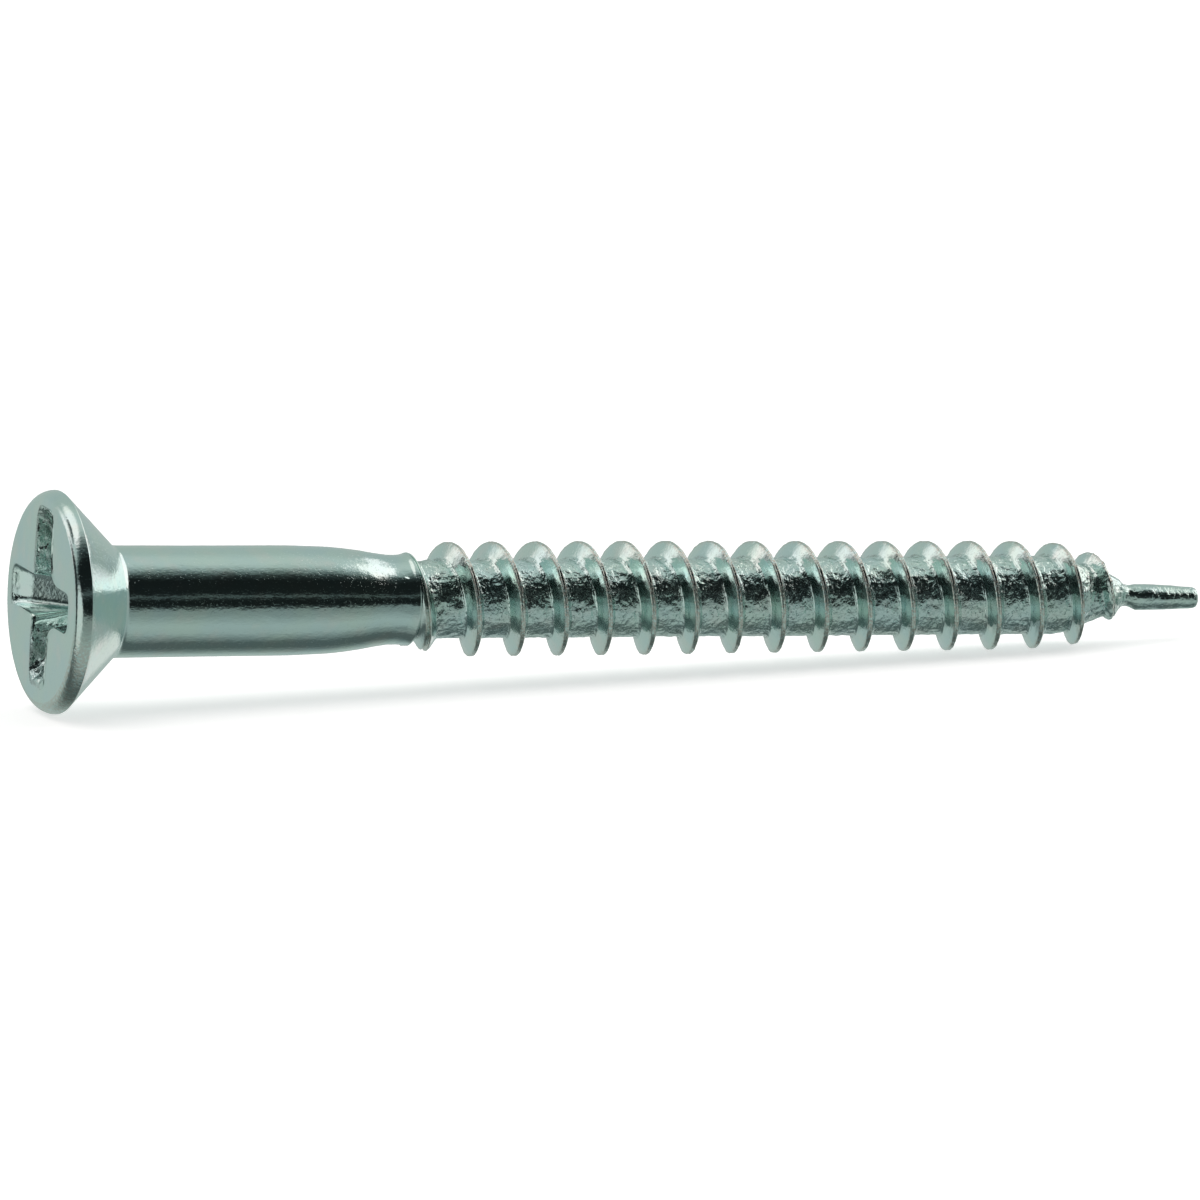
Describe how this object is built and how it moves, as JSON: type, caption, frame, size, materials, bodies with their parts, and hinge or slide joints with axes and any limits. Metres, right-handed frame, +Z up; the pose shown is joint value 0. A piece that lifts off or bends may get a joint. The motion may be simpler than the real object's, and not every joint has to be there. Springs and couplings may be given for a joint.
{
  "type": "wood screw",
  "caption": "Zinc-plated wood screw with a countersunk cross-recess head, plain shank, necked start to a right-hand thread, and a pointed tip.",
  "frame": {"origin": "centre of the head's flat top, on the screw's axis", "axes": "+X along the axis from the head to the tip, +Z up; the recess's wings lie along Y and Z"},
  "size_m": [0.0519, 0.0094, 0.0094],
  "materials": {
    "zinc_plated_steel": "bright zinc plating with a faint blue-green tint over cold-headed, thread-rolled steel"
  },
  "bodies": {
    "root": {"wood_screw": "zinc_plated_steel"}
  },
  "joints": []
}
